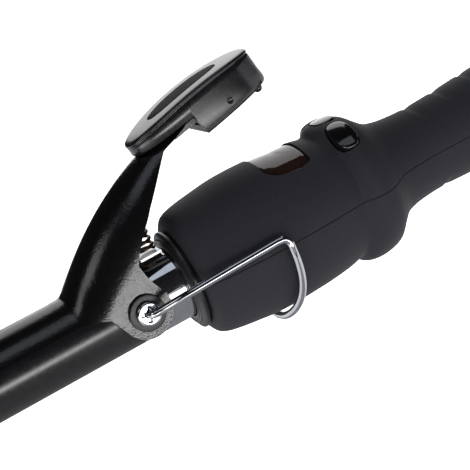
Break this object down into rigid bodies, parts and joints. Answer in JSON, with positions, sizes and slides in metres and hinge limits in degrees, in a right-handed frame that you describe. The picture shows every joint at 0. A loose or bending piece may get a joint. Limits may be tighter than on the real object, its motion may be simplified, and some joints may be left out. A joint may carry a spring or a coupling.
{
  "type": "curling wand",
  "caption": "Clamp-type curling wand with a spring clip and thumb lever, a fold-out wire stand, a display window and keys on the handle.",
  "frame": {"origin": "centre of the cool tip's flat end face, on the barrel's axis", "axes": "+X along the barrel towards the handle, +Z towards the thumb lever and the display, +Y across the handle"},
  "size_m": [0.355, 0.044, 0.0681],
  "materials": {
    "black_coating": "smooth glossy ceramic coating",
    "gloss_black": "glossy black paint with a slight orange-peel",
    "gloss_plastic": "polished black",
    "soft_touch": "black soft-touch lacquer",
    "heatproof_plastic": "satin black",
    "bright_chrome": "polished",
    "zinc": "zinc plated",
    "spring_steel": "oil blackened",
    "aluminium": "extruded",
    "brass": "turned",
    "ceramic": "unglazed",
    "glass_bead": "amber",
    "glass_sleeving": "woven",
    "fibre_board": "pressed",
    "grey_fibre": "needled",
    "circuit_board": "solder mask",
    "black_epoxy": "moulded",
    "capacitor_film": "dipped",
    "display_face": "glass faced",
    "smoke_lens": "smoked",
    "lead_red": "insulated wire",
    "lead_white": "insulated wire"
  },
  "bodies": {
    "root": {"cool_tip": "heatproof_plastic", "barrel_tube": "black_coating", "root_sleeve": "bright_chrome", "heating_element": "ceramic", "heat_shoe_upper": "aluminium", "heat_shoe_lower": "aluminium", "temperature_sensor": "glass_bead", "lead_bush": "ceramic", "heater_lead_left": "glass_sleeving", "heater_lead_right": "glass_sleeving", "barrel_flange": "fibre_board", "nose_collar": "heatproof_plastic", "shell_upper": "soft_touch", "shell_lower": "soft_touch", "shell_screw_1": "zinc", "shell_screw_2": "zinc", "display_lens": "smoke_lens", "display_module": "display_face", "control_board": "circuit_board", "triac": "black_epoxy", "mains_capacitor": "capacitor_film", "key_carrier": "black_epoxy", "switch_minus": "black_epoxy", "switch_power": "black_epoxy", "switch_plus": "black_epoxy", "end_cap": "heatproof_plastic", "contact_holder": "fibre_board", "contact_pin_line": "brass", "contact_pin_neutral": "brass", "mains_lead_line": "lead_red", "mains_lead_neutral": "lead_white", "pivot_screw_left": "bright_chrome", "pivot_screw_right": "bright_chrome", "shoulder_ring_left": "heatproof_plastic", "shoulder_ring_right": "heatproof_plastic", "spring_seat": "zinc", "clamp_spring": "spring_steel"},
    "clamp": {"clamp_plate": "gloss_black", "thumb_pad": "gloss_plastic", "thumb_pad_inlay": "soft_touch", "tongue_liner": "grey_fibre", "pad_screw": "zinc", "pad_stop": "gloss_plastic"},
    "stand": {"wire_stand": "bright_chrome"},
    "key_minus": {"key_minus": "gloss_plastic"},
    "key_power": {"key_power": "gloss_plastic"},
    "key_plus": {"key_plus": "gloss_plastic"},
    "gland": {"cord_gland": "gloss_plastic"}
  },
  "joints": [
    {"name": "clamp_pivot", "type": "hinge", "parent": "root", "child": "clamp", "pos_m": [0.165, 0, 0], "axis": [0, 1, 0], "range_deg": [0, 14], "stiffness_Nm_per_rad": 0.5, "springref_deg": -28.65, "deforming": ["clamp_spring"]},
    {"name": "stand_pivot", "type": "hinge", "parent": "root", "child": "stand", "pos_m": [0.165, 0, 0], "axis": [0, 1, 0], "range_deg": [0, 125]},
    {"name": "key_minus_press", "type": "slide", "parent": "root", "child": "key_minus", "axis": [0, 0.5344, -0.8453], "range_m": [0, 0.0005], "stiffness_N_per_m": 600, "springref_m": -0.001},
    {"name": "key_power_press", "type": "slide", "parent": "root", "child": "key_power", "axis": [0, 0, -1], "range_m": [0, 0.0005], "stiffness_N_per_m": 600, "springref_m": -0.001},
    {"name": "key_plus_press", "type": "slide", "parent": "root", "child": "key_plus", "axis": [0, -0.5344, -0.8453], "range_m": [0, 0.0005], "stiffness_N_per_m": 600, "springref_m": -0.001},
    {"name": "gland_swivel", "type": "hinge", "parent": "root", "child": "gland", "pos_m": [0.34, 0, 0], "axis": [1, 0, 0], "continuous": true}
  ]
}
